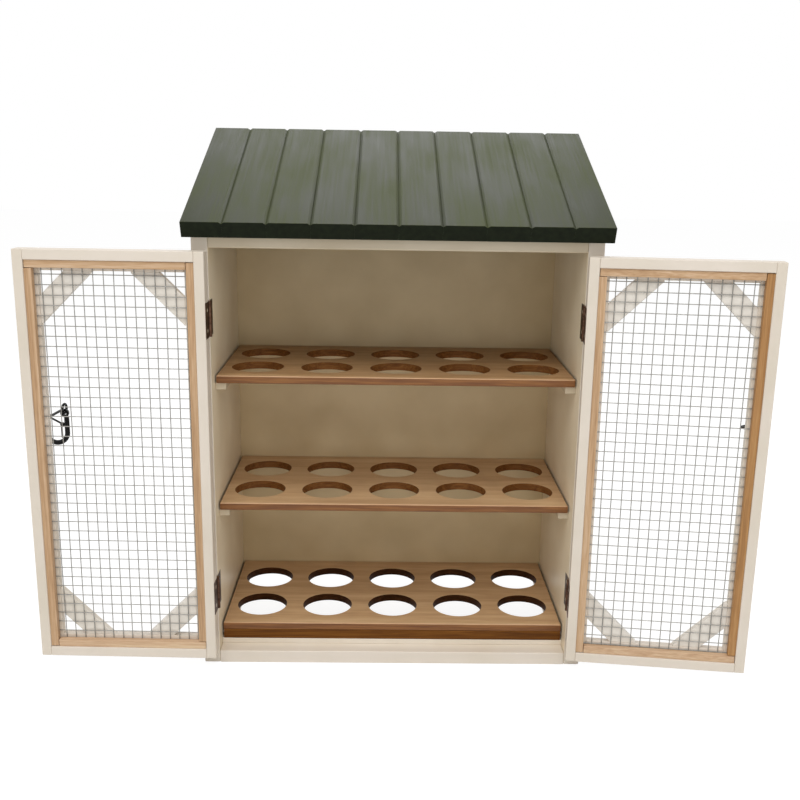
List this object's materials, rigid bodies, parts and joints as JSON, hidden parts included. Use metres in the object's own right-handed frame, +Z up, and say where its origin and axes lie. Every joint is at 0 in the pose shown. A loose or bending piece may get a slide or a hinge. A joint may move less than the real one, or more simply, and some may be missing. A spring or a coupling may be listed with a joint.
{
  "type": "golf ball display case",
  "caption": "Small wood display case with a sloping plank roof, three pierced ball shelves, two mesh-panelled doors on butt hinges and a hook latch.",
  "frame": {"origin": "middle of the underside of the base front rail", "axes": "+X to the viewer's right, +Y from the doors to the back, +Z up"},
  "size_m": [0.5422, 0.1902, 0.4122],
  "materials": {
    "white_paint": "brushed off-white paint on wood",
    "roof_paint": "dark olive green satin paint on wood",
    "bead_wood": "bare oiled softwood",
    "shelf_wood": "bare plywood, reddish cut edges",
    "mesh_wire": "galvanised welded wire",
    "bronze": "dark antique bronze",
    "black_steel": "black"
  },
  "bodies": {
    "case": {"back_panel": "white_paint", "base_door_stop": "white_paint", "base_front_rail": "white_paint", "bottom_shelf": "shelf_wood", "bottom_shelf_cleats": "white_paint", "bottom_shelf_strip": "shelf_wood", "case_hinge_screws": "bronze", "left_case_hinge_leaves": "bronze", "left_hinge_pins": "bronze", "left_side_panel": "white_paint", "middle_shelf": "shelf_wood", "middle_shelf_cleats": "white_paint", "right_case_hinge_leaves": "bronze", "right_hinge_pins": "bronze", "right_side_panel": "white_paint", "roof_plank_01": "roof_paint", "roof_plank_02": "roof_paint", "roof_plank_03": "roof_paint", "roof_plank_04": "roof_paint", "roof_plank_05": "roof_paint", "roof_plank_06": "roof_paint", "roof_plank_07": "roof_paint", "roof_plank_08": "roof_paint", "roof_plank_09": "roof_paint", "roof_plank_10": "roof_paint", "roof_rear_batten": "white_paint", "top_front_rail": "white_paint", "top_shelf": "shelf_wood", "top_shelf_cleats": "white_paint"},
    "left_door": {"left_door_bottom_bead": "bead_wood", "left_door_bottom_rail": "white_paint", "left_door_corner_braces": "white_paint", "left_door_hinge_bead": "bead_wood", "left_door_hinge_leaves": "bronze", "left_door_hinge_screws": "bronze", "left_door_hinge_stile": "white_paint", "left_door_latch_bead": "bead_wood", "left_door_latch_stile": "white_paint", "left_door_mesh": "mesh_wire", "left_door_top_bead": "bead_wood", "left_door_top_rail": "white_paint", "left_screw_eye": "black_steel"},
    "right_door": {"right_door_bottom_bead": "bead_wood", "right_door_bottom_rail": "white_paint", "right_door_corner_braces": "white_paint", "right_door_hinge_bead": "bead_wood", "right_door_hinge_leaves": "bronze", "right_door_hinge_screws": "bronze", "right_door_hinge_stile": "white_paint", "right_door_latch_bead": "bead_wood", "right_door_latch_stile": "white_paint", "right_door_mesh": "mesh_wire", "right_door_top_bead": "bead_wood", "right_door_top_rail": "white_paint", "right_screw_eye": "black_steel"},
    "hook": {"latch_hook": "black_steel", "keeper_rivet": "black_steel", "keeper_spring": "black_steel"},
    "keeper": {"hook_keeper": "black_steel"}
  },
  "joints": [
    {"name": "left_door_hinge", "type": "hinge", "parent": "case", "child": "left_door", "pos_m": [-0.136, -0.0076, 0.16795], "axis": [0, 0, 1], "range_deg": [-8.6, 181.4]},
    {"name": "right_door_hinge", "type": "hinge", "parent": "case", "child": "right_door", "pos_m": [0.136, -0.0076, 0.16795], "axis": [0, 0, -1], "range_deg": [-17.4, 172.6]},
    {"name": "hook_swing", "type": "hinge", "parent": "left_door", "child": "hook", "pos_m": [-0.25415, 0.01969, 0.19605], "axis": [0.0244, 0.9997, 0], "range_deg": [-30, 71.3]},
    {"name": "keeper_press", "type": "hinge", "parent": "hook", "child": "keeper", "pos_m": [-0.25645, 0.01975, 0.18695], "axis": [-0.0244, -0.9997, 0], "range_deg": [0, 38], "stiffness_Nm_per_rad": 0.001, "springref_deg": -17.19}
  ]
}
